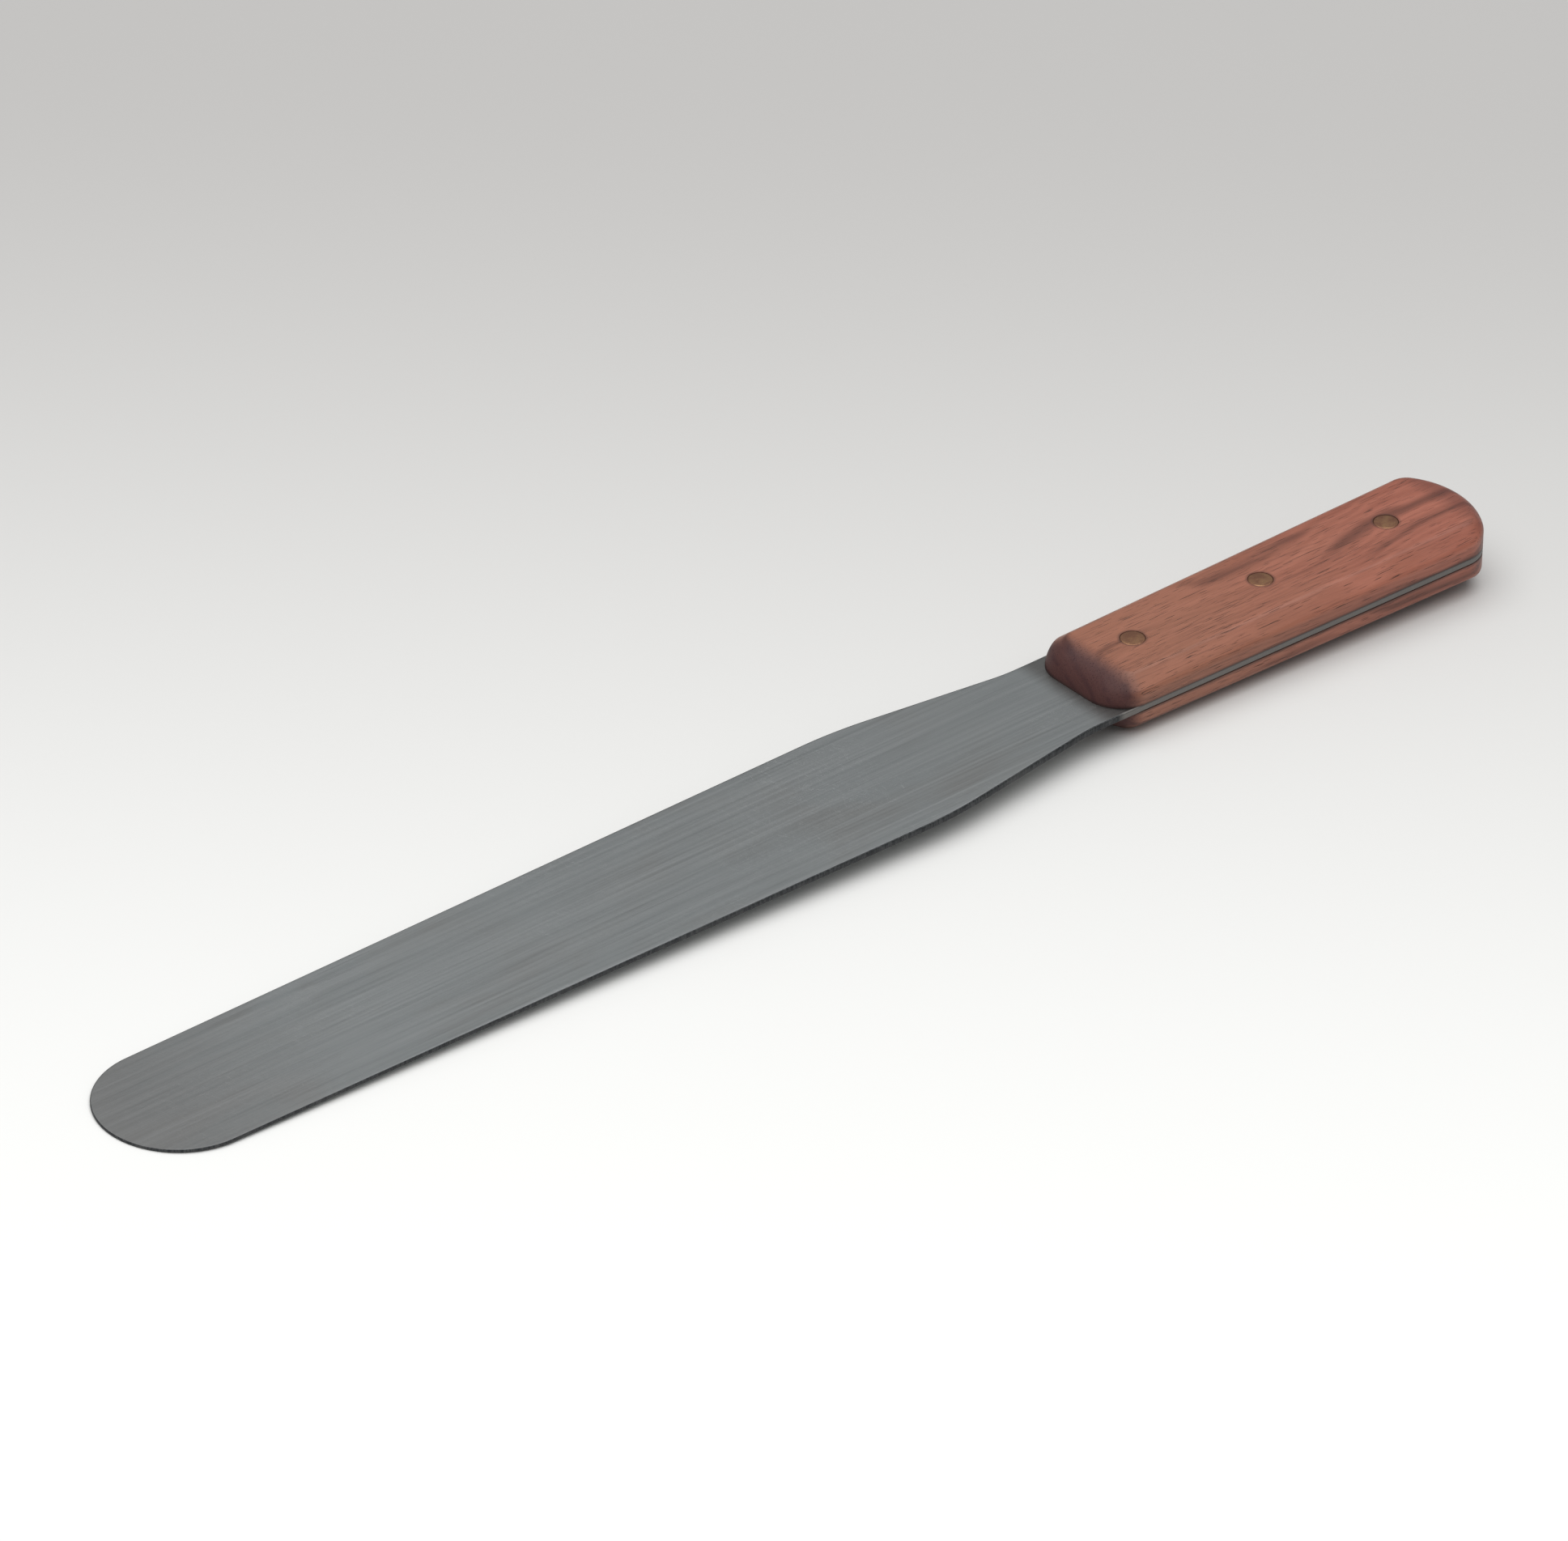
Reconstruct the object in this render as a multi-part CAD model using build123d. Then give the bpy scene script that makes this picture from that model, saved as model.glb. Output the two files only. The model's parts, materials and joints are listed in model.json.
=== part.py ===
"""Flexible palette knife, the long round-ended kind that decorators mix and spread with.

One strip of taper-ground spring steel makes the blade and its full tang. Two hardwood scales sandwich the
tang, and three cutler's rivets clamp them. Each rivet is a solid post pressed into a tube. The blade flexes
along its length. Here it turns on one hinge near the handle, as the rigid link that stands for a bent strip.

Every piece is drawn in the tool frame: X = 0 at the handle's front end, +X towards the tip, the tang's middle
plane at Z = 0. The finished pieces are then laid down on Z = 0 as the knife lies on a bench, on the tip of
its blade and the belly of its handle.
"""

from build123d import *
from math import acos, asin, atan, atan2, cos, degrees, hypot, pi, sin, sqrt
import os

# Blade, seen from above
blade_length = 254.0  # handle front to tip
tip_radius = 18.0  # the end is a full half round
heel_width = 40.0  # the widest place, where the neck begins
heel_at = 50.0  # distance from the handle front to the heel
heel_blend = 110.0  # radius that softens the corner at the heel
neck_stub = 7.0  # how far the tang's straight sides run out of the handle
neck_blend = 45.0  # radius between those sides and the neck

# Blade, seen from the side
tang_thickness = 1.6
tip_thickness = 0.65
grind_start = 12.0  # the taper grind begins this far from the handle front

# Handle
handle_length = 112.5
handle_front_width = 27.8
handle_rear_width = 30.6
handle_front_thickness = 14.0
handle_rear_thickness = 15.2
front_corner_radius = 8.5  # seen from above
butt_corner_radius = 8.5  # seen from above
butt_bow = 7.0  # how far the middle of the butt stands out past its corners
front_round = 8.5  # radius of the scales' front ends, seen from the side, down to the tang
edge_round = 2.4  # rounding of the scales' outer edges, which shows at the butt
bevel_across = 3.8  # the long bevels, measured across the handle
bevel_down = 3.2  # the long bevels, measured down the side

# Cutler's rivets
rivet_first = 17.0  # from the handle front to the first rivet
rivet_last = 22.0  # from the last rivet to the butt
rivet_head_diameter = 5.6
rivet_head_thickness = 1.5
rivet_tube_diameter = 4.0
rivet_post_diameter = 2.4
rivet_clearance = 0.04  # radial, round the tubes and the heads
rivet_end_gap = 0.4  # between a post's end and its tube's floor, and a tube's end and the far head

# Flexing
flex_pivot_share = 0.15  # a strip loaded at its end turns about this share of its length
flex_limit = 30.0  # degrees each way
seam_clearance = 0.07  # between the blade and the neck at the hinge

RIVETS = ("front", "middle", "rear")
BEYOND = 20.0  # how far a cutting shape runs past what it cuts


def top_slope():
    """How much the handle's top rises from the middle plane, per mm towards the butt."""
    return (handle_rear_thickness - handle_front_thickness) / 2 / handle_length


def thickness_at(x):
    """Handle thickness at a place along it, which grows evenly towards the butt."""
    return handle_front_thickness - 2 * top_slope() * x


def width_at(x):
    """Handle width at a place along it, which grows evenly towards the butt."""
    growth = (handle_rear_width - handle_front_width) / handle_length
    return handle_front_width - growth * x


def steel_thickness_at(x):
    """Thickness of the steel strip: even along the tang, then ground thinner towards the tip."""
    ground = max(0.0, x - grind_start) / (blade_length - grind_start)
    return tang_thickness - (tang_thickness - tip_thickness) * ground


# ---------------------------------------------------------------- outlines seen from above


def handle_plan():
    """The outline that the scales and the tang share: tapering sides and a bowed butt with round corners."""
    shoulder = -handle_length + butt_bow
    side = width_at(shoulder) / 2
    front = handle_front_width / 2
    with BuildSketch() as plan:
        with BuildLine():
            Line((0, -front), (0, front))
            Line((0, front), (shoulder, side))
            ThreePointArc((shoulder, side), (-handle_length, 0), (shoulder, -side))
            Line((shoulder, -side), (0, -front))
        make_face()
        butt_corners = plan.vertices().group_by(Axis.X)[0]
        fillet(butt_corners, butt_corner_radius)
    return plan.sketch


def scale_plan():
    """The scales' own outline, which also rounds the two corners at the front."""
    plan = handle_plan()
    return fillet(plan.vertices().group_by(Axis.X)[-1], front_corner_radius)


def blade_plan():
    """The blade's outline from the handle front: stub, neck, heel, slightly tapering sides, round tip."""
    stub = handle_front_width / 2
    heel = heel_width / 2
    centre = blade_length - tip_radius
    # The side is the line from the heel that touches the tip's circle.
    run = centre - heel_at
    side_angle = atan2(run, heel) - acos(tip_radius / hypot(run, heel))
    touch_x = centre + tip_radius * sin(side_angle)
    touch_y = tip_radius * cos(side_angle)
    with BuildSketch() as plan:
        with BuildLine():
            upper = FilletPolyline(
                (0, stub),
                (neck_stub, stub),
                (heel_at, heel),
                (touch_x, touch_y),
                radius=[neck_blend, heel_blend],
            )
            ThreePointArc((touch_x, touch_y), (blade_length, 0), (touch_x, -touch_y))
            mirror(upper, about=Plane.XZ)
            Line((0, stub), (0, -stub))
        make_face()
    return plan.sketch


# ---------------------------------------------------------------- steel


def flex_pivot():
    return blade_length * flex_pivot_share


def tang_profile():
    """The tang and the root of the neck seen from the side, ending in a half round about the pivot."""
    pivot = flex_pivot()
    nose = steel_thickness_at(pivot) / 2
    tang = tang_thickness / 2
    butt = -handle_length - BEYOND
    with BuildSketch() as profile:
        with BuildLine():
            ThreePointArc((pivot, -nose), (pivot + nose, 0), (pivot, nose))
            Polyline(
                (pivot, nose),
                (grind_start, tang),
                (butt, tang),
                (butt, -tang),
                (grind_start, -tang),
                (pivot, -nose),
            )
        make_face()
    return Plane.XZ * profile.sketch


def blade_profile():
    """The blade seen from the side: it begins with a groove round the neck's half round end."""
    pivot = flex_pivot()
    nose = steel_thickness_at(pivot) / 2
    past_tip = blade_length + BEYOND
    tip = steel_thickness_at(past_tip) / 2
    profile = make_face(Polyline((pivot, -nose), (past_tip, -tip), (past_tip, tip), (pivot, nose), close=True))
    groove = Pos(pivot, 0) * Circle(nose + seam_clearance)
    return Plane.XZ * (profile - groove)


def steel():
    """The strip of steel as two solids: the drilled tang with the root of the neck, and the blade."""
    outline = extrude(handle_plan() + blade_plan(), BEYOND, both=True)
    tang = outline & extrude(tang_profile(), heel_width, both=True)
    blade = outline & extrude(blade_profile(), heel_width, both=True)
    for x in rivet_places():
        tang -= upright(x, rivet_tube_diameter / 2 + rivet_clearance, -BEYOND, BEYOND)
    return tang, blade


# ---------------------------------------------------------------- handle


def handle_profile():
    """The handle seen from the side, thicker at the butt."""
    front = handle_front_thickness / 2
    butt = handle_rear_thickness / 2
    points = [(0, -front), (0, front), (-handle_length, butt), (-handle_length, -butt)]
    return Plane.XZ * make_face(Polyline(*points, close=True))


def front_round_centre():
    """The centre of the circle that rounds the upper scale's front end, seen from the side.

    The circle touches the handle's top and meets the front end where the tang comes out."""
    steepness = hypot(1, top_slope())
    drop = (handle_front_thickness - tang_thickness) / 2 - front_round * steepness
    x = (top_slope() * drop - sqrt((front_round * steepness) ** 2 - drop**2)) / steepness**2
    return x, thickness_at(x) / 2 - front_round * steepness


def rounded_profile():
    """The handle seen from the side, with both scales' front ends rounded down to the tang."""
    x, z = front_round_centre()
    tang = tang_thickness / 2
    butt = handle_rear_thickness / 2
    first = pi / 2 - atan(top_slope())
    last = atan2(tang - z, -x)
    start, middle, end = [
        (x + front_round * cos(angle), z + front_round * sin(angle)) for angle in (first, (first + last) / 2, last)
    ]
    with BuildSketch() as profile:
        with BuildLine():
            upper = Line((-handle_length, butt), start) + ThreePointArc(start, middle, end)
            mirror(upper, about=Plane.XZ)
            Line(end, (end[0], -end[1]))
            Line((-handle_length, butt), (-handle_length, -butt))
        make_face()
    return Plane.XZ * profile.sketch


def long_bevel():
    """The block to cut away along the handle's upper long corner on the +Y side."""
    on_side = Vector(0, handle_front_width / 2, handle_front_thickness / 2 - bevel_down)
    across = Vector(0, -bevel_across, bevel_down)
    # Both edges of the bevel run along the handle as it widens and thickens, so the bevel is flat.
    along = Vector(-handle_length, width_at(-handle_length) / 2, thickness_at(-handle_length) / 2)
    along -= Vector(0, handle_front_width / 2, handle_front_thickness / 2)
    face = Plane(origin=on_side, x_dir=along, z_dir=along.cross(across))
    return face * Pos(0, 0, BEYOND / 2) * Box(3 * handle_length, 2 * BEYOND, BEYOND)


def handle_body():
    """The whole outside of the handle as one solid, which the scales and the rivet heads are trimmed to."""
    body = extrude(scale_plan(), BEYOND, both=True) & extrude(handle_profile(), heel_width, both=True)
    by_height = body.faces().sort_by(Axis.Z)
    body = fillet(by_height[0].edges() + by_height[-1].edges(), edge_round)
    for bevel in (long_bevel(), mirror(long_bevel(), about=Plane.XZ)):
        body -= bevel
        body -= mirror(bevel, about=Plane.XY)
    return body & extrude(rounded_profile(), heel_width, both=True)


def rivet_places():
    """Three places along the handle, evenly spaced."""
    first = -rivet_first
    last = rivet_last - handle_length
    return [first + (last - first) * i / (len(RIVETS) - 1) for i in range(len(RIVETS))]


def head_seat(x):
    """How far a rivet head's inner face stands from the tang's middle plane."""
    return thickness_at(x) / 2 - rivet_head_thickness


def upright(x, radius, low, high):
    """A cylinder across the handle's thickness, between two heights."""
    return Pos(x, 0, (low + high) / 2) * Cylinder(radius, high - low)


def scales(body):
    """The upper and lower scale, each drilled for the rivets and counterbored for their heads."""
    face = tang_thickness / 2
    block = Box(4 * handle_length, 4 * heel_width, 2 * BEYOND)
    upper = body & (Pos(0, 0, face + BEYOND) * block)
    lower = body & (Pos(0, 0, -face - BEYOND) * block)
    for x in rivet_places():
        shank = upright(x, rivet_tube_diameter / 2 + rivet_clearance, -BEYOND, BEYOND)
        seat = rivet_head_diameter / 2 + rivet_clearance
        upper -= shank + upright(x, seat, head_seat(x), BEYOND)
        lower -= shank + upright(x, seat, -BEYOND, -head_seat(x))
    return upper, lower


def rivet(x, body):
    """A post with its head in the upper scale, and a tube with its head in the lower one, ground flush."""
    seat = head_seat(x)
    head = rivet_head_diameter / 2
    post = rivet_post_diameter / 2
    post_piece = upright(x, head, seat, BEYOND) & body
    post_piece += upright(x, post, -seat + rivet_end_gap, seat)
    tube_piece = upright(x, head, -BEYOND, -seat) & body
    tube_piece += upright(x, rivet_tube_diameter / 2, -seat, seat - rivet_end_gap)
    tube_piece -= upright(x, post, -seat, BEYOND)
    return post_piece, tube_piece


# ---------------------------------------------------------------- laying it down


def lying_angle():
    """The angle, in degrees, that brings the blade's tip and the handle's belly down to one plane.

    The belly's lowest place is on the circle that rounds the lower scale's front end."""
    x, z = front_round_centre()
    along = blade_length - x
    rise = z - tip_thickness / 2
    return degrees(atan2(rise, along) + asin(front_round / hypot(along, rise)))


def build():
    """Every piece in the tool frame, by node name."""
    tang, blade = steel()
    body = handle_body()
    upper, lower = scales(body)
    pieces = {"tang": tang, "blade": blade, "upper_scale": upper, "lower_scale": lower}
    for name, x in zip(RIVETS, rivet_places()):
        post, tube = rivet(x, body)
        pieces[f"{name}_rivet_post"] = post
        pieces[f"{name}_rivet_tube"] = tube
    return pieces


def resting_place(pieces):
    """The move from the tool frame to the bench: turned, lowered to Z = 0 and centred over the origin."""
    turn = Rot(Y=lying_angle())
    turned = Compound(children=[turn * piece for piece in pieces.values()])
    box = turned.bounding_box()
    return Pos(-(box.min.X + box.max.X) / 2, -(box.min.Y + box.max.Y) / 2, -box.min.Z) * turn


drawn = build()
place = resting_place(drawn)
os.makedirs("parts", exist_ok=True)
for node, piece in drawn.items():
    export_step(place * piece, f"parts/{node}.step")
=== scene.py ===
"""The looks of a flexible palette knife: a satin ground blade and tang, two rosewood scales, three rivets.

Every shape is worked out in the knife's own frame, where x = 0 is the handle's front end, +x runs to the tip
and z = 0 is the middle of the steel. The CAD model says where that frame lies on the bench.
"""

import json
import math

import bmesh
import bpy
from mathutils import Matrix, Vector


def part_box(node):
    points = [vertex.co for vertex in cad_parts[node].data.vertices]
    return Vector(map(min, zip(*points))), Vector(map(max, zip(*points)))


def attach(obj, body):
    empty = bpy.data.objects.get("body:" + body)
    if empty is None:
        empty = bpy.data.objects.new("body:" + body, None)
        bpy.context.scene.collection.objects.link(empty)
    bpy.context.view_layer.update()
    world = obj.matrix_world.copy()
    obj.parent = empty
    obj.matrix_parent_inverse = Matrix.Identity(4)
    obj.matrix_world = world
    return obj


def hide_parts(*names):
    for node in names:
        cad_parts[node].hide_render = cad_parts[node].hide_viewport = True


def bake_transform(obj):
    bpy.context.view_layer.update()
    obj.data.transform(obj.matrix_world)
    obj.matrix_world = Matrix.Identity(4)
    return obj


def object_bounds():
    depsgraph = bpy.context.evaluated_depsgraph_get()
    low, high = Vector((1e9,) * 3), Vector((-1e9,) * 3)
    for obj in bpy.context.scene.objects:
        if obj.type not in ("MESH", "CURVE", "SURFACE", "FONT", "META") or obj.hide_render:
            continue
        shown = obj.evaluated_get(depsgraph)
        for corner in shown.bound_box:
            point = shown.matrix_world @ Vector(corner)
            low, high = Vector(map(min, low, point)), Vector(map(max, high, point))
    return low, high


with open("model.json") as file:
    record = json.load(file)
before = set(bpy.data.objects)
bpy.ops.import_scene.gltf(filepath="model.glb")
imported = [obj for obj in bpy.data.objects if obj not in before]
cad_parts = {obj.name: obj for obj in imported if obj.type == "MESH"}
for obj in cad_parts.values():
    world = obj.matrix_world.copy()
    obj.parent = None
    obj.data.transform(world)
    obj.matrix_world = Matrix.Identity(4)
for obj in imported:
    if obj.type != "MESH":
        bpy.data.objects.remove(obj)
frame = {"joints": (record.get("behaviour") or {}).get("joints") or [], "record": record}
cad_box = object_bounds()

# ---------------------------------------------------------------- where the knife lies

PIVOT_SHARE = 0.15  # the hinge's place along the blade, from the handle

grip = next(m for m in frame["record"]["mounts"] if m["name"] == "hand_grip")
flex = next(j for j in frame["joints"] if j["name"] == "blade_flex")
ALONG = Vector(grip["axis"]).normalized()
ACROSS = Vector((0, 1, 0))
UPWARD = ALONG.cross(ACROSS)
PIVOT = Vector(flex["pos_m"])
TIP_CORNER = Vector((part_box("blade")[1].x, 0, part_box("blade")[0].z))
BLADE_LENGTH = (TIP_CORNER - PIVOT).dot(ALONG) / (1 - PIVOT_SHARE)
HANDLE_FRONT = PIVOT - ALONG * BLADE_LENGTH * PIVOT_SHARE
HANDLE_LENGTH = 2 * (HANDLE_FRONT - Vector(grip["pos_m"])).length  # the grip's mount is at its middle
LYING = Matrix((ALONG, ACROSS, UPWARD)).transposed().to_4x4()
LYING.translation = HANDLE_FRONT

# ---------------------------------------------------------------- sizes, in metres

MM = 0.001

# The steel
TIP_RADIUS = 18 * MM
HEEL_WIDTH = 40 * MM  # the widest place, where the neck begins
HEEL_AT = 50 * MM
HEEL_BLEND = 110 * MM
NECK_STUB = 7 * MM
NECK_BLEND = 45 * MM
TANG_THICKNESS = 1.6 * MM
TIP_THICKNESS = 0.65 * MM
GRIND_START = 12 * MM
EDGE_SHARE = 0.24  # its rounded edges, as a share of its thickness

# The handle
FRONT_WIDTH = 27.8 * MM
REAR_WIDTH = 30.6 * MM
FRONT_THICKNESS = 14 * MM
REAR_THICKNESS = 15.2 * MM
FRONT_CORNER = 8.5 * MM
BUTT_CORNER = 8.5 * MM
BUTT_BOW = 7 * MM
FRONT_ROUND = 8.5 * MM  # radius of the scales' front ends, seen from the side
BUTT_ROUND = 3.2 * MM
BEVEL_ACROSS = 3.8 * MM
BEVEL_DOWN = 3.2 * MM
BEVEL_SOFTEN = 2 * MM  # radius along a bevel's two corners

# The rivets
RIVET_FIRST = 17 * MM  # from the handle's front to the first rivet
RIVET_LAST = 22 * MM  # from the last rivet to the butt
HEAD_RADIUS = 2.8 * MM
HEAD_THICKNESS = 1.5 * MM
TUBE_RADIUS = 2 * MM
POST_RADIUS = 1.2 * MM
RIVET_CLEARANCE = 0.04 * MM
RIVET_END_GAP = 0.4 * MM
HEAD_PROUD = 0.1 * MM
POST_NOSE = 0.25 * MM  # the length of a post's narrowed end
POST_NOSE_SHARE = 0.8  # that end's radius, as a share of the post's

# The making
LONGEST_RUN = 3 * MM  # between two stations along a piece
SAME_PLACE = 1e-7
PAST_STEEL = 5 * MM  # how far a drill reaches past the middle plane to clear the steel
PAST_WOOD = 20 * MM  # and to clear the scales

# ---------------------------------------------------------------- where the camera stands

CAMERA_AZIMUTH = math.radians(139)
CAMERA_ELEVATION = math.radians(32.2)
CAMERA_ROLL = math.radians(1.9)
CAMERA_DISTANCE = 2.0
CAMERA_AIM = Vector((-0.0012, -0.0122, 0.008))
FRAME_WIDTH = 0.3273  # metres across the picture at the aim point
TOWARD_CAMERA = Vector((math.sin(CAMERA_AZIMUTH), -math.cos(CAMERA_AZIMUTH), 0))

# ---------------------------------------------------------------- sizes that change along the knife


def grown(front, rear, x):
    """A size of the handle that grows evenly from its front to its butt."""
    return front - (rear - front) * x / HANDLE_LENGTH


def half_width(x):
    return grown(FRONT_WIDTH, REAR_WIDTH, x) / 2


def half_thickness(x):
    return grown(FRONT_THICKNESS, REAR_THICKNESS, x) / 2


def steel_half(x):
    """Half the thickness of the strip of steel, which is ground thinner towards the tip."""
    ground = max(0.0, x - GRIND_START) / (BLADE_LENGTH - GRIND_START)
    return (TANG_THICKNESS - (TANG_THICKNESS - TIP_THICKNESS) * ground) / 2


def ease(t):
    """0 to 1, starting and ending gently."""
    t = min(1.0, max(0.0, t))
    return t * t * (3 - 2 * t)


RIVET_PLACES = {
    "front": -RIVET_FIRST,
    "middle": (-RIVET_FIRST + RIVET_LAST - HANDLE_LENGTH) / 2,
    "rear": RIVET_LAST - HANDLE_LENGTH,
}

# ---------------------------------------------------------------- outlines seen from above, +y half only


def arc(centre, radius, first, last, steps):
    """Points round a circle from one angle to another, in radians."""
    angles = [first + (last - first) * i / steps for i in range(steps + 1)]
    return [Vector((centre[0] + radius * math.cos(a), centre[1] + radius * math.sin(a))) for a in angles]


def rounded(before, corner, after, radius, steps):
    """The arc that rounds the corner between two straight runs."""
    back = (before - corner).normalized()
    ahead = (after - corner).normalized()
    half = math.acos(max(-1.0, min(1.0, back.dot(ahead)))) / 2
    centre = corner + (back + ahead).normalized() * radius / math.sin(half)
    start = corner + back * radius / math.tan(half) - centre
    turn = (math.pi - 2 * half) * (1 if back.cross(ahead) < 0 else -1)
    first = math.atan2(start.y, start.x)
    return arc(centre, radius, first, first + turn, steps)


def cut_even(points):
    """The same outline with its long runs cut into stations."""
    out = [points[0]]
    for before, after in zip(points, points[1:]):
        length = (after - before).length
        cuts = max(1, math.ceil(length / LONGEST_RUN))
        if length > SAME_PLACE:
            out += [before.lerp(after, i / cuts) for i in range(1, cuts + 1)]
    return out


def butt_half():
    """From the middle of the bowed butt round its corner to the handle's side."""
    shoulder = half_width(BUTT_BOW - HANDLE_LENGTH)
    bow = (shoulder ** 2 + BUTT_BOW ** 2) / (2 * BUTT_BOW)
    middle = bow - HANDLE_LENGTH
    # The corner's circle touches the bow from inside and the handle's side, which leans a little.
    lean = (REAR_WIDTH - FRONT_WIDTH) / 2 / HANDLE_LENGTH
    reach = FRONT_WIDTH / 2 - BUTT_CORNER * math.hypot(1, lean)
    a = 1 + lean ** 2
    b = -2 * (middle + reach * lean)
    c = middle ** 2 + reach ** 2 - (bow - BUTT_CORNER) ** 2
    x = (-b - math.sqrt(b * b - 4 * a * c)) / (2 * a)
    y = reach - lean * x
    meet = math.atan2(y, x - middle)
    side = math.atan2(1, lean)
    return arc((middle, 0), bow, math.pi, meet, 12)[:-1] + arc((x, y), BUTT_CORNER, meet, side, 16)


def steel_half_outline():
    """The whole strip: butt, handle side, neck, heel, slightly tapering side, half round tip."""
    stub = FRONT_WIDTH / 2
    centre = BLADE_LENGTH - TIP_RADIUS
    run = centre - HEEL_AT
    lean = math.atan2(run, HEEL_WIDTH / 2) - math.acos(TIP_RADIUS / math.hypot(run, HEEL_WIDTH / 2))
    front = Vector((0, stub))
    shoulder = Vector((NECK_STUB, stub))
    heel = Vector((HEEL_AT, HEEL_WIDTH / 2))
    tip = arc((centre, 0), TIP_RADIUS, math.pi / 2 - lean, 0, 40)
    neck = rounded(front, shoulder, heel, NECK_BLEND, 12)
    heel_round = rounded(shoulder, heel, tip[0], HEEL_BLEND, 14)
    return cut_even(butt_half() + [front] + neck + heel_round + tip)


def scale_outline():
    """Points all round a scale, each with its inward direction and its share in the front and butt ends."""
    half = butt_half()
    corner = Vector((0, FRONT_WIDTH / 2))
    half += rounded(half[-1], corner, Vector((0, 0)), FRONT_CORNER, 20)
    half = cut_even(half + [Vector((0, 0))])
    points = []
    for i, p in enumerate(half):
        before = half[i - 1] if i else Vector((half[1].x, -half[1].y))
        after = half[i + 1] if i + 1 < len(half) else Vector((half[-2].x, -half[-2].y))
        run = (after - before).normalized()
        into = Vector((run.y, -run.x))
        points.append((p, into, ease(-into.x), ease(into.x)))
    mirrored = [(Vector((p.x, -p.y)), Vector((n.x, -n.y)), f, b) for p, n, f, b in points[1:-1]]
    return points + mirrored[::-1]


# ---------------------------------------------------------------- meshes


def close_up(bm):
    bmesh.ops.remove_doubles(bm, verts=bm.verts, dist=SAME_PLACE)
    bmesh.ops.dissolve_degenerate(bm, edges=bm.edges, dist=SAME_PLACE)
    bmesh.ops.recalc_face_normals(bm, faces=bm.faces)


def bridge(bm, ring, after):
    """Faces between two closed rings with the same number of points, which may touch in places."""
    for i, here in enumerate(ring):
        j = (i + 1) % len(ring)
        corners = []
        for v in (here, ring[j], after[j], after[i]):
            if all((v.co - other.co).length > SAME_PLACE for other in corners):
                corners.append(v)
        if len(corners) > 2:
            bm.faces.new(corners)


def as_piece(name, bm):
    piece = bpy.data.objects.new(name, bpy.data.meshes.new(name))
    bm.to_mesh(piece.data)
    bm.free()
    bpy.context.scene.collection.objects.link(piece)
    return piece


def drill(piece, bores):
    """Cuts upright round holes, each (x, radius, low, high) in the knife's frame."""
    for x, radius, low, high in bores:
        bm = bmesh.new()
        bmesh.ops.create_cone(
            bm, cap_ends=True, segments=64, radius1=radius, radius2=radius, depth=high - low,
            matrix=Matrix.Translation((x, 0, (low + high) / 2)),
        )
        tool = as_piece("drill", bm)
        cut = piece.modifiers.new("drill", "BOOLEAN")
        cut.object = tool
        cut.solver = "EXACT"
        drilled = bpy.data.meshes.new_from_object(piece.evaluated_get(bpy.context.evaluated_depsgraph_get()))
        piece.modifiers.clear()
        piece.data = drilled
        bpy.data.objects.remove(tool)


def finish_piece(piece, finishes, sharp=30):
    """Gives a piece its finishes and lays it down. Edges past the sharp angle, in degrees, stay sharp.

    Attribute spot keeps each point's place in the knife's frame, in millimetres, for the grain to follow."""
    mesh = piece.data
    mesh.name = piece.name
    spot = mesh.attributes.new("spot", "FLOAT_VECTOR", "POINT")
    for v in mesh.vertices:
        spot.data[v.index].vector = v.co / MM
    mesh.transform(LYING)
    mesh.shade_smooth()
    mesh.set_sharp_from_angle(angle=math.radians(sharp))
    for finish in finishes:
        mesh.materials.append(finish)
    return piece


def make_steel():
    """The blade and its tang: one strip with rounded edges, ground thinner towards the tip."""
    side = steel_half_outline()
    edge_steps, flat_steps = 4, 14
    # The flat's outer rows lie close to the edge, which keeps the flat's shading even.
    outer_row = 0.01
    across = [outer_row] + [k / flat_steps for k in range(1, flat_steps)] + [1 - outer_row]
    bm = bmesh.new()
    rings = []
    for i, point in enumerate(side):
        run = (side[min(i + 1, len(side) - 1)] - side[max(i - 1, 0)]).normalized()
        into = Vector((run.y, -run.x))
        if i in (0, len(side) - 1):
            into = Vector((1 if i == 0 else -1, 0))
        half = steel_half(point.x)
        edge = 2 * half * EDGE_SHARE
        turns = [math.pi / 2 * k / edge_steps for k in range(edge_steps + 1)]
        rim = [(point + into * edge * (1 - math.cos(a)), half - edge + edge * math.sin(a)) for a in turns]
        lip = rim[-1][0]
        loop = [(p.x, p.y, z) for p, z in rim]
        loop += [(lip.x, lip.y * (1 - 2 * share), half) for share in across]
        loop += [(p.x, -p.y, z) for p, z in reversed(rim)]
        loop += [(x, y, -z) for x, y, z in reversed(loop)]
        rings.append([bm.verts.new(co) for co in loop])
    for ring, after in zip(rings, rings[1:]):
        bridge(bm, ring, after)
    close_up(bm)
    piece = as_piece("blade_and_tang", bm)
    bore = TUBE_RADIUS + RIVET_CLEARANCE
    drill(piece, [(x, bore, -PAST_STEEL, PAST_STEEL) for x in RIVET_PLACES.values()])
    return piece


def bevel_profile(steps):
    """A long bevel's section as (inset, drop) pairs from the side to the top, with softened corners."""
    low = Vector((0, 2 * BEVEL_DOWN))
    first = Vector((0, BEVEL_DOWN))
    second = Vector((BEVEL_ACROSS, 0))
    far = Vector((2 * BEVEL_ACROSS, 0))
    return rounded(low, first, second, BEVEL_SOFTEN, steps) + rounded(first, second, far, BEVEL_SOFTEN, steps)


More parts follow.
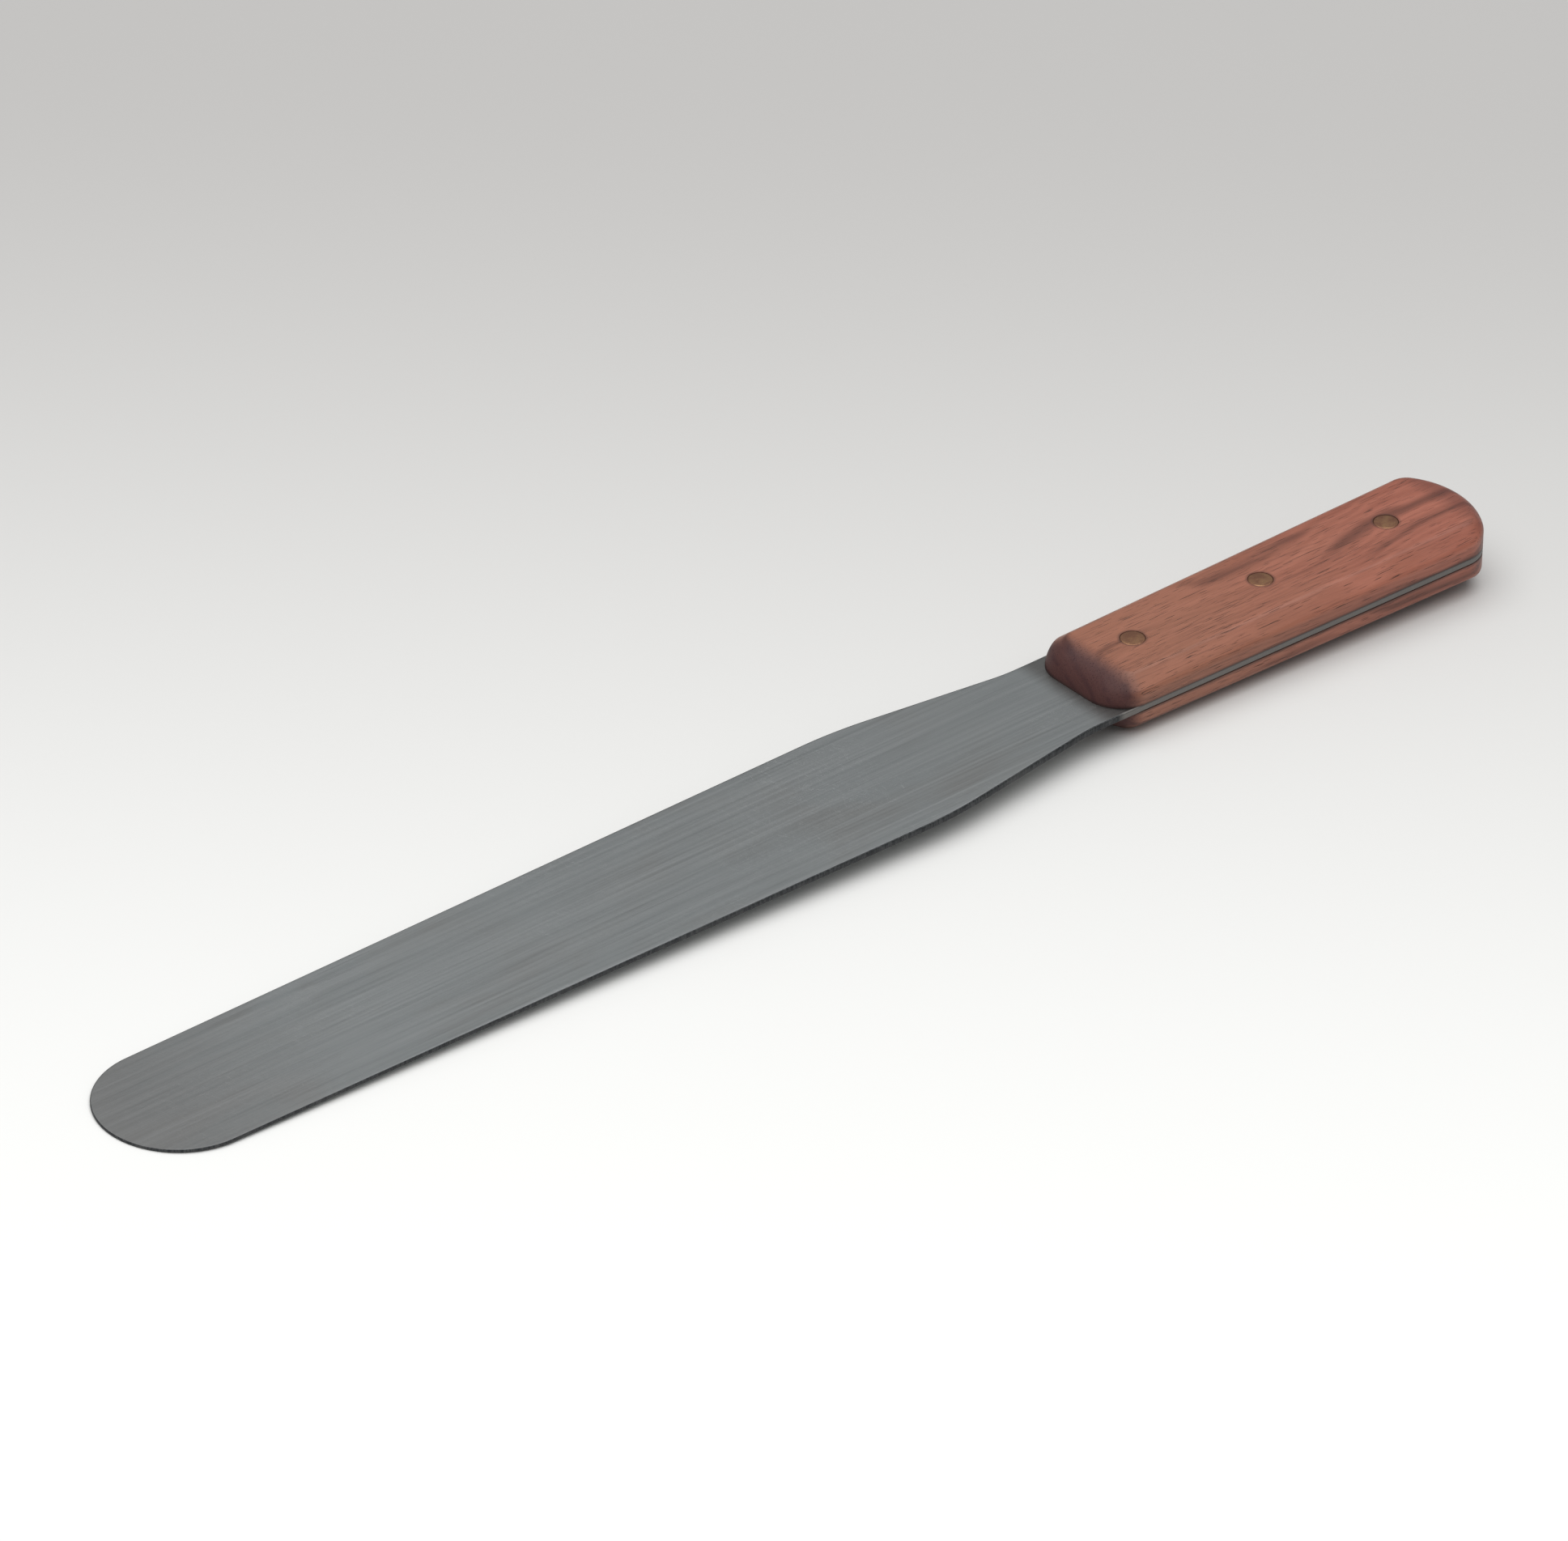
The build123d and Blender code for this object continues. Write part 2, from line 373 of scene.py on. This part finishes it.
def round_profile(radius, depth, count):
    """A rounded end's section: a circle that touches the top and reaches the end at a depth below it."""
    first = math.asin(max(0, 1 - depth / radius))
    turns = [first + (math.pi / 2 - first) * k / (count - 1) for k in range(count)]
    return [Vector((radius * (math.cos(first) - math.cos(a)), radius * (1 - math.sin(a)))) for a in turns]


def make_scale(name, up):
    """One of the two wooden scales. Its outer edge is a long bevel that turns into rounded ends."""
    face = TANG_THICKNESS / 2
    bevel = bevel_profile(7)
    front_end = round_profile(FRONT_ROUND, FRONT_THICKNESS / 2 - face, len(bevel))
    butt_end = round_profile(BUTT_ROUND, BUTT_ROUND, len(bevel))
    outline = scale_outline()
    bm = bmesh.new()
    rings = [[bm.verts.new((p.x, p.y, up * face)) for p, *_ in outline]]
    for k in range(len(bevel)):
        ring = []
        for p, into, front, butt in outline:
            step = bevel[k].lerp(front_end[k], front).lerp(butt_end[k], butt)
            inner = p + into * step.x
            ring.append(bm.verts.new((inner.x, inner.y, up * (half_thickness(inner.x) - step.y))))
        rings.append(ring)
    # One more ring on the flat, drawn in towards the handle's middle line, keeps the top's shading even.
    drawn_in = 0.6 * MM
    line_start, line_end = -13 * MM, 16 * MM - HANDLE_LENGTH
    flat = []
    for v in rings[-1]:
        toward = Vector((max(line_end, min(line_start, v.co.x)), 0)) - v.co.xy
        inner = v.co.xy + toward.normalized() * drawn_in
        flat.append(bm.verts.new((inner.x, inner.y, up * half_thickness(inner.x))))
    rings.append(flat)
    for ring, after in zip(rings, rings[1:]):
        bridge(bm, ring, after)
    bm.faces.new(rings[0])
    bm.faces.new(rings[-1])
    close_up(bm)
    piece = as_piece(name, bm)
    bores = []
    for x in RIVET_PLACES.values():
        seat = half_thickness(x) - HEAD_THICKNESS
        bores.append((x, TUBE_RADIUS + RIVET_CLEARANCE, -PAST_WOOD, PAST_WOOD))
        bores.append((x, HEAD_RADIUS + RIVET_CLEARANCE, *sorted((up * seat, up * PAST_WOOD))))
    drill(piece, bores)
    return piece


def turned(name, x, profile, up, tilt_from):
    """A piece turned round an upright axis from (radius, height) pairs.

    Past the height tilt_from it follows the slope of the wood."""
    count = 56
    slope = (REAR_THICKNESS - FRONT_THICKNESS) / 2 / HANDLE_LENGTH
    bm = bmesh.new()
    rings = []
    for radius, height in profile:
        ring = []
        for i in range(count):
            a = 2 * math.pi * i / count
            dx, dy = radius * math.cos(a), radius * math.sin(a)
            lift = -slope * dx if height > tilt_from else 0
            ring.append(bm.verts.new((x + dx, dy, up * (height + lift))))
        rings.append(ring)
    for ring, after in zip(rings, rings[1:]):
        bridge(bm, ring, after)
    close_up(bm)
    return as_piece(name, bm)


def head_profile(seat, top):
    """A rivet head's outside from its rim's foot to its crown: a small rounded rim and a very slight dome."""
    rim = 0.3 * MM
    dome = 0.08 * MM
    points = [(HEAD_RADIUS, seat)]
    for k in range(6):
        a = math.pi / 2 * k / 5
        points.append((HEAD_RADIUS - rim * (1 - math.cos(a)), top - dome - rim * (1 - math.sin(a))))
    flat = HEAD_RADIUS - rim
    for k in range(1, 9):
        r = flat * (1 - k / 8)
        points.append((r, top - dome * (r / flat) ** 2))
    return points


def make_rivet(where, x):
    """A cutler's rivet: a post headed in the upper scale, pressed into a tube headed in the lower one."""
    seat = half_thickness(x) - HEAD_THICKNESS
    top = half_thickness(x) + HEAD_PROUD
    sides = head_profile(seat, top)
    tip = RIVET_END_GAP - seat
    post_shank = [
        (0, tip), (POST_RADIUS * POST_NOSE_SHARE, tip), (POST_RADIUS, tip + POST_NOSE), (POST_RADIUS, seat),
    ]
    # The tube is drawn head up, as the post is, and turned over. Its bore runs from its mouth to its head.
    tube_shank = [(0, seat), (POST_RADIUS, seat), (POST_RADIUS, tip), (TUBE_RADIUS, tip), (TUBE_RADIUS, seat)]
    return (
        turned(f"{where}_rivet_post_turned", x, post_shank + sides, 1, seat),
        turned(f"{where}_rivet_tube_turned", x, tube_shank + sides, -1, seat),
    )


# ---------------------------------------------------------------- finishes


class Shade:
    """A value somewhere in a finish. Arithmetic on it adds Math nodes."""

    def __init__(self, finish, socket):
        self.finish = finish
        self.socket = socket

    def math(self, operation, *values):
        return self.finish.node("ShaderNodeMath", {"operation": operation}, dict(enumerate(values)))

    def __add__(self, other):
        return self.math("ADD", self, other)

    def __sub__(self, other):
        return self.math("SUBTRACT", self, other)

    def __rsub__(self, other):
        return self.math("SUBTRACT", other, self)

    def __mul__(self, other):
        return self.math("MULTIPLY", self, other)

    def __pow__(self, other):
        return self.math("POWER", self, other)

    __radd__ = __add__
    __rmul__ = __mul__

    def size(self):
        return self.math("ABSOLUTE", self)

    def sine(self):
        return self.math("SINE", self)

    def between(self, low, high):
        """0 below low and 1 above high, gently in between."""
        sockets = {"Value": self, "From Min": low, "From Max": high}
        return self.finish.node("ShaderNodeMapRange", {"interpolation_type": "SMOOTHSTEP"}, sockets)


class Finish:
    """A material under construction, around one Principled shader."""

    def __init__(self, name, fixed):
        self.material = bpy.data.materials.new(name)
        self.material.use_nodes = True
        self.tree = self.material.node_tree
        self.shader = self.tree.nodes["Principled BSDF"]
        for socket, value in fixed.items():
            self.shader.inputs[socket].default_value = value
        self.spot = self.node("ShaderNodeAttribute", {"attribute_name": "spot"}, {}, "Vector")

    def node(self, kind, settings, sockets, out=0):
        """Adds a node: its settings first, then the values or links of its sockets."""
        made = self.tree.nodes.new(kind)
        for name, value in settings.items():
            if name == "stops":
                ramp = made.color_ramp
                while len(ramp.elements) < len(value):
                    ramp.elements.new(0.5)
                for element, (position, colour) in zip(ramp.elements, value):
                    element.position = position
                    element.color = (*colour, 1)
            else:
                setattr(made, name, value)
        for name, value in sockets.items():
            if isinstance(value, Shade):
                self.tree.links.new(value.socket, made.inputs[name])
            else:
                made.inputs[name].default_value = value
        return Shade(self, made.outputs[out])

    def scaled(self, *factors, shift=(0, 0, 0)):
        """The knife-frame place, in millimetres, stretched by a factor each way."""
        stretched = self.node("ShaderNodeVectorMath", {"operation": "MULTIPLY"}, {0: self.spot, 1: factors})
        return self.node("ShaderNodeVectorMath", {"operation": "ADD"}, {0: stretched, 1: shift})

    def noise(self, place, detail=3.0, distortion=0.0):
        sockets = {"Vector": place, "Scale": 1.0, "Detail": detail, "Distortion": distortion}
        return self.node("ShaderNodeTexNoise", {}, sockets)

    def blend(self, share, first, second, how="MIX"):
        settings = {"data_type": "RGBA", "blend_type": how, "clamp_factor": True}
        first, second = ((*c, 1) if isinstance(c, tuple) else c for c in (first, second))
        return self.node("ShaderNodeMix", settings, {0: share, 6: first, 7: second}, 2)

    def parts(self, place):
        """The x, y and z of a place."""
        split = self.node("ShaderNodeSeparateXYZ", {}, {0: place})
        return [Shade(self, split.socket.node.outputs[i]) for i in range(3)]

    def done(self, colour, roughness, height, depth):
        """Links what varies, with height as a relief of that depth in millimetres."""
        bump = self.node("ShaderNodeBump", {}, {"Strength": 1.0, "Distance": depth * MM, "Height": height})
        for socket, value in (("Base Color", colour), ("Roughness", roughness), ("Normal", bump)):
            self.tree.links.new(value.socket, self.shader.inputs[socket])
        return self.material


def ground_steel():
    """Satin spring steel with fine lengthwise grinding lines, a few stray scratches and faint stains."""
    f = Finish("ground_spring_steel", {"Metallic": 1.0})
    x = f.parts(f.spot)[0]
    lines = f.noise(f.scaled(0.035, 9, 9), 4)
    coarse = f.noise(f.scaled(0.012, 1.1, 1.1, shift=(7, 3, 0)), 3)
    stray = f.noise(f.scaled(0.5, 0.16, 1, shift=(31, 12, 5)), 2, 1.4)
    worked = f.noise(f.scaled(0.02, 0.06, 0.06, shift=(5, 5, 2)), 2).between(0.4, 0.6)
    scratch = (1 - (stray - 0.5).size().between(0.0, 0.005)) * worked
    stains = f.noise(f.scaled(0.03, 0.05, 0.05, shift=(2, 9, 1)), 5, 0.6).between(0.42, 0.72)
    tint = f.blend(stains, (0.36, 0.382, 0.387), (0.3, 0.304, 0.3))
    tint = f.blend((coarse - 0.35) * 2.2, tint, (0.44, 0.457, 0.462))
    tint = f.blend(scratch * 0.5, tint, (0.6, 0.6, 0.6))
    tint = f.blend((lines - 0.5).size() * 1.6, tint, (0.2, 0.205, 0.212))
    # Painted shade: the steel is darkened where it meets the handle's front, and on into the handle.
    painted_shade_near_wood = 1 - x.between(-0.5, 5.0)
    tint = f.blend(painted_shade_near_wood * 0.6, tint, (0.09, 0.075, 0.065))
    # The last stretch of the blade, towards the tip, is a little darker and duller.
    toward_tip = (x + coarse * 24).between(200, 262)
    tint = f.blend(toward_tip * 0.6, tint, (0.215, 0.21, 0.206))
    roughness = 0.35 + (lines - 0.5) * 0.3 + stains * 0.03 - scratch * 0.08 + toward_tip * 0.04
    height = lines * 0.6 + coarse * 0.3 - scratch * 0.5
    return f.done(tint, roughness, height, 0.012)


def steel_edge_with_painted_shade():
    """The strip's edge, painted dark as shade, with marks square to the faces; the painted shade is lighter
    where it lies in the handle.
    """
    f = Finish("steel_edge_painted_shade", {"Metallic": 1.0})
    marks = f.noise(f.scaled(3, 3, 0.6), 3)
    dull = f.noise(f.scaled(0.08, 0.3, 0.3, shift=(4, 4, 4)), 3)
    # Painted shade: the edge is drawn near black for the shade on its thin face.
    tint = f.blend(marks.between(0.35, 0.7), (0.035, 0.037, 0.04), (0.085, 0.088, 0.09))
    tint = f.blend(dull.between(0.5, 0.75) * 0.5, tint, (0.12, 0.12, 0.12))
    in_handle = 1 - f.parts(f.spot)[0].between(-3.0, -0.5)
    tint = f.blend(in_handle * (0.75 + marks * 0.3), tint, (0.2, 0.19, 0.18))
    return f.done(tint, 0.42 + marks * 0.15, marks, 0.02)


def rosewood(name, shift):
    """Reddish-brown rosewood: ribbons and dark lines along the grain, open pores, dark end grain, painted
    shade on the rounded front, oiled.
    """
    f = Finish(name, {"Coat Weight": 0.08, "Coat Roughness": 0.35, "Specular IOR Level": 0.35})
    x, y, z = f.parts(f.spot)
    slow = f.noise(f.scaled(0.012, 0.03, 0.03, shift=shift), 2)
    quick = f.noise(f.scaled(0.06, 0.12, 0.12, shift=shift), 2)
    sway = slow * 9 + quick * 1.1
    from_pith = ((y + shift[1]) ** 2 + (z + 19) ** 2) ** 0.5 + sway
    rings = (from_pith * 2.1).sine() * 0.5 + 0.5
    fine_rings = (from_pith * 7.3 + sway).sine() * 0.5 + 0.5
    ribbon = f.noise(f.scaled(0.014, 0.24, 0.24, shift=shift), 4, 0.5)
    fibre = f.noise(f.scaled(0.09, 3.6, 3.6, shift=shift), 4, 0.2)
    pores = f.noise(f.scaled(0.16, 5.5, 5.5, shift=shift), 1.5, 0.1).between(0.64, 0.71)
    tone = ribbon * 0.75 + fibre * 0.5 - 0.12 + (fine_rings - 0.5) * 0.16
    tint = f.node("ShaderNodeValToRGB", {"stops": (
        (0.0, (0.145, 0.04, 0.023)), (0.35, (0.27, 0.084, 0.053)),
        (0.7, (0.38, 0.13, 0.086)), (1.0, (0.46, 0.185, 0.125)),
    )}, {0: tone})
    toward_front = (x + quick * 30).between(-95, 5)
    tint = f.blend(toward_front * 0.5, tint, (0.27, 0.132, 0.078))
    tint = f.blend((rings ** 3) * ribbon.between(0.38, 0.6) * 0.7, tint, (0.065, 0.02, 0.013))
    tint = f.blend(fibre.between(0.5, 0.7) * 0.42, tint, (0.085, 0.027, 0.018))
    tint = f.blend(pores * 0.8, tint, (0.02, 0.009, 0.007))
    # End grain drinks more oil, so both ends are darker. The rounded front is darker still, with painted
    # shade, as it faces away from the light.
    front_end = (x + FRONT_ROUND / MM).between(-0.5, 4.5)
    butt_end = ((BUTT_BOW - HANDLE_LENGTH) / MM + 1 - x).between(-1.5, 4)
    tint = f.blend(front_end * 0.88, tint, (0.035, 0.007, 0.01))
    tint = f.blend(butt_end * 0.45, tint, (0.08, 0.022, 0.018))
    # Darker along the steel; dirt gathers round the rivets.
    from_steel = z.size() - TANG_THICKNESS / 2 / MM
    tint = f.blend((1 - from_steel.between(0.0, 0.8)) * 0.7, tint, (0.018, 0.009, 0.008))
    for place in RIVET_PLACES.values():
        off = ((x - place / MM) ** 2 + y ** 2) ** 0.5
        grime = 1 - (off - HEAD_RADIUS / MM).between(0.0, 0.8)
        tint = f.blend(grime * 0.5, tint, (0.025, 0.012, 0.01))
    rubbed = f.noise(f.scaled(0.05, 0.09, 0.09, shift=(3, 1, 8)), 3).between(0.45, 0.7)
    roughness = 0.42 + (fibre - 0.5) * 0.2 + pores * 0.25 - rubbed * 0.08 + front_end * 0.2
    height = fibre * 0.4 + fine_rings * 0.12 - pores
    return f.done(tint, roughness, height, 0.05)


def rivet_brass():
    """Brass ground flush with the wood and dulled to brown by hands, with scratches along the handle."""
    f = Finish("dull_brass", {"Metallic": 1.0})
    lines = f.noise(f.scaled(0.7, 8, 8), 3)
    tarnish = f.noise(f.scaled(0.5, 0.5, 0.5), 3).between(0.3, 0.65)
    tint = f.blend(tarnish, (0.36, 0.2, 0.11), (0.22, 0.11, 0.07))
    tint = f.blend((lines - 0.5).size() * 1.5, tint, (0.16, 0.08, 0.05))
    roughness = 0.36 + lines * 0.14 + tarnish * 0.12
    return f.done(tint, roughness, lines, 0.012)


# ---------------------------------------------------------------- the knife


def part_faces_from_edges(steel):
    """The strip's two faces take its first finish, and its edges the second."""
    spot = steel.data.attributes["spot"].data
    for face in steel.data.polygons:
        flatness = min(abs(spot[v].vector.z) * MM / steel_half(spot[v].vector.x * MM) for v in face.vertices)
        face.material_index = 0 if flatness > 0.99 else 1


def make_knife():
    brass = rivet_brass()
    steel = finish_piece(make_steel(), (ground_steel(), steel_edge_with_painted_shade()))
    part_faces_from_edges(steel)
    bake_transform(steel)
    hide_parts("tang", "blade")
    for name, up, shift in (("upper_scale", 1, (11.0, 9.0, 4.0)), ("lower_scale", -1, (53.0, 27.0, 16.0))):
        wood = rosewood(f"rosewood_{name}", shift)
        scale = finish_piece(make_scale(f"{name}_shaped", up), (wood,), sharp=42)
        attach(scale, "handle")
        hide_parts(name)
    for where, x in RIVET_PLACES.items():
        for half, piece in zip(("post", "tube"), make_rivet(where, x)):
            finish_piece(piece, (brass,))
            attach(piece, "handle")
            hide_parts(f"{where}_rivet_{half}")


# ---------------------------------------------------------------- bench, light and camera


def make_bench():
    """A plain pale surface under the knife, with painted shade that makes it a little greyer towards the
    back.
    """
    bm = bmesh.new()
    bmesh.ops.create_grid(bm, x_segments=8, y_segments=8, size=8)  # 8 m each way from the middle
    bench = as_piece("bench", bm)
    bench.location.z = cad_box[0].z
    f = Finish("pale_bench_painted_shade", {"Roughness": 0.75, "Specular IOR Level": 0.15})
    place = f.node("ShaderNodeTexCoord", {}, {}, "Object")
    sockets = {0: place, 1: -TOWARD_CAMERA}
    away_for_painted_shade = f.node("ShaderNodeVectorMath", {"operation": "DOT_PRODUCT"}, sockets, "Value")
    mottle = f.noise(f.node("ShaderNodeVectorMath", {"operation": "SCALE"}, {0: place, "Scale": 900}), 2)
    # Painted shade: the bench's colour falls from near white at the front to grey at the back.
    tint = f.blend(away_for_painted_shade.between(-0.22, 0.34), (0.875, 0.875, 0.86), (0.5, 0.49, 0.48))
    bench.data.materials.append(f.done(tint, 0.72 + mottle * 0.06, mottle, 0.01))


def softbox(name, place, aim, size, watts):
    light = bpy.data.lights.new(name, "AREA")
    light.shape = "RECTANGLE"
    light.size, light.size_y = size
    light.energy = watts
    lamp = bpy.data.objects.new(name, light)
    lamp.location = place
    lamp.rotation_euler = (Vector(aim) - Vector(place)).to_track_quat("-Z", "Y").to_euler()
    bpy.context.scene.collection.objects.link(lamp)


def light_bench():
    """Soft light from a big box overhead, and an even grey room."""
    world = bpy.data.worlds.new("studio")
    bpy.context.scene.world = world
    world.use_nodes = True
    room = world.node_tree.nodes["Background"].inputs
    room["Color"].default_value = (0.985, 1.0, 1.0, 1)
    room["Strength"].default_value = 0.36
    above = 0.1 * TOWARD_CAMERA + Vector((0, 0, 1.4))
    softbox("overhead", above, aim=(0, 0, 0), size=(2.2, 2.2), watts=29)


def place_camera():
    back = TOWARD_CAMERA * math.cos(CAMERA_ELEVATION) + Vector((0, 0, math.sin(CAMERA_ELEVATION)))
    right = Vector((math.cos(CAMERA_AZIMUTH), math.sin(CAMERA_AZIMUTH), 0))
    turn = Matrix((right, back.cross(right), back)).transposed() @ Matrix.Rotation(CAMERA_ROLL, 3, "Z")
    camera = bpy.data.cameras.new("studio_camera")
    camera.sensor_width = 36
    camera.lens = camera.sensor_width * CAMERA_DISTANCE / FRAME_WIDTH
    eye = bpy.data.objects.new("studio_camera", camera)
    eye.matrix_world = Matrix.Translation(CAMERA_AIM + back * CAMERA_DISTANCE) @ turn.to_4x4()
    bpy.context.scene.collection.objects.link(eye)
    bpy.context.scene.camera = eye
    bpy.context.scene.view_settings.view_transform = "Standard"


make_knife()
make_bench()
light_bench()
place_camera()
